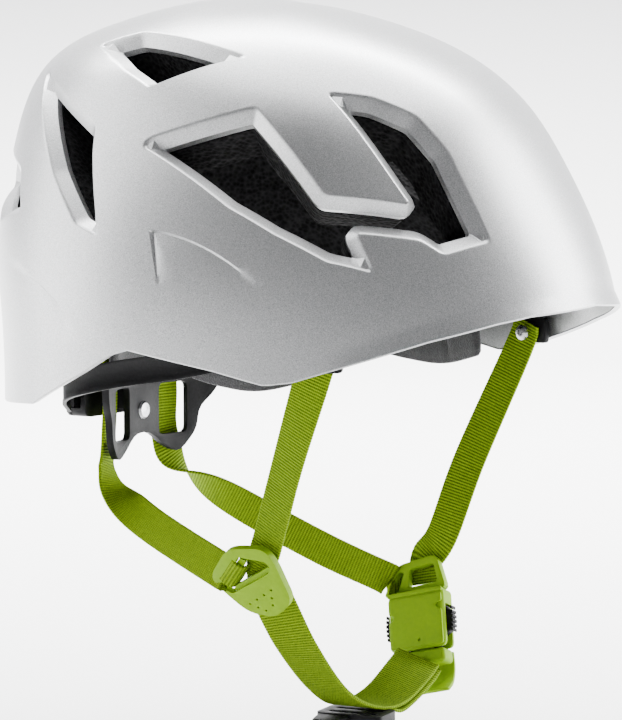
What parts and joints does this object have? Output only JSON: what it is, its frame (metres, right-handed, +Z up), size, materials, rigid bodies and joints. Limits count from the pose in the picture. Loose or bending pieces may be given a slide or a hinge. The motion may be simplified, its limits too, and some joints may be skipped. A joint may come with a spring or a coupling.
{
  "type": "climbing helmet",
  "caption": "Vented climbing helmet with foam liner, rear size adjuster and a webbing chin harness with side-release buckle.",
  "frame": {"origin": "centre of the wearer's head, where the headband and liner hold the helmet", "axes": "+X towards the face, +Y to the wearer's left, +Z up through the crown"},
  "size_m": [0.2729, 0.209, 0.3041],
  "materials": {
    "shell": "silver white with a fine metallic grain, satin",
    "foam": "moulded bead foam",
    "pad": "knitted pad cover",
    "plastic": "fine spark texture",
    "webbing": "ribbed flat webbing",
    "hardware": "satin moulding",
    "steel": "nickel plated"
  },
  "bodies": {
    "helmet": {"adjuster_housing": "plastic", "band_arm_left": "plastic", "band_arm_right": "plastic", "band_rivet_left": "plastic", "band_rivet_right": "plastic", "brow_pad": "pad", "buckle_socket": "hardware", "chin_strap": "webbing", "chin_strap_return": "webbing", "cover_screw_left": "steel", "cover_screw_right": "steel", "cradle_frame": "plastic", "cradle_pad": "pad", "cradle_snap": "steel", "crown_pad": "pad", "detent_spring": "steel", "foam_liner": "foam", "front_anchor_left": "plastic", "front_anchor_right": "plastic", "front_rivet_left": "steel", "front_rivet_right": "steel", "front_strap_left": "webbing", "front_strap_right": "webbing", "headband_front": "plastic", "housing_cover": "plastic", "outer_shell": "shell", "rear_anchor_left": "plastic", "rear_anchor_right": "plastic", "rear_strap_left": "webbing", "rear_strap_right": "webbing", "side_pad_left": "pad", "side_pad_right": "pad", "strap_divider": "hardware"},
    "knob": {"adjuster_knob": "plastic", "pinion": "plastic"},
    "rack_left": {"rack_left": "plastic"},
    "rack_right": {"rack_right": "plastic"},
    "buckle_insert": {"buckle_insert": "hardware", "buckle_guard": "hardware"},
    "prong_left": {"release_prong_left": "plastic"},
    "prong_right": {"release_prong_right": "plastic"},
    "strap_adjuster": {"strap_adjuster": "plastic"}
  },
  "joints": [
    {"name": "knob_turn", "type": "hinge", "parent": "helmet", "child": "knob", "pos_m": [-0.107, 0, -0.042], "axis": [1, 0, 0], "range_deg": [-90, 90]},
    {"name": "rack_left_slide", "type": "slide", "parent": "helmet", "child": "rack_left", "axis": [0, -1, 0], "range_m": [-0.008, 0.008], "deforming": ["band_arm_left"]},
    {"name": "rack_right_slide", "type": "slide", "parent": "helmet", "child": "rack_right", "axis": [0, 1, 0], "range_m": [-0.008, 0.008], "deforming": ["band_arm_right"]},
    {"name": "buckle_slide", "type": "slide", "parent": "helmet", "child": "buckle_insert", "axis": [0.2501, -0.3301, -0.9102], "range_m": [0, 0.025], "deforming": ["chin_strap", "chin_strap_return"]},
    {"name": "prong_left_squeeze", "type": "hinge", "parent": "buckle_insert", "child": "prong_left", "pos_m": [0.03508, 0.05323, -0.15667], "axis": [0, -0.9401, 0.3409], "range_deg": [0, 6]},
    {"name": "prong_right_squeeze", "type": "hinge", "parent": "buckle_insert", "child": "prong_right", "pos_m": [0.02017, 0.05192, -0.16029], "axis": [0, -0.9401, 0.3409], "range_deg": [-6, 0]},
    {"name": "adjuster_slide", "type": "slide", "parent": "helmet", "child": "strap_adjuster", "axis": [-0.1005, 0.9949, 0], "range_m": [-0.008, 0.008], "deforming": ["chin_strap", "chin_strap_return"]}
  ],
  "couplings": [
    {"joint": "rack_left_slide", "follows": "knob_turn", "m_per_rad": 0.005},
    {"joint": "rack_right_slide", "follows": "knob_turn", "m_per_rad": 0.005},
    {"joint": "prong_right_squeeze", "follows": "prong_left_squeeze", "ratio": -1}
  ]
}
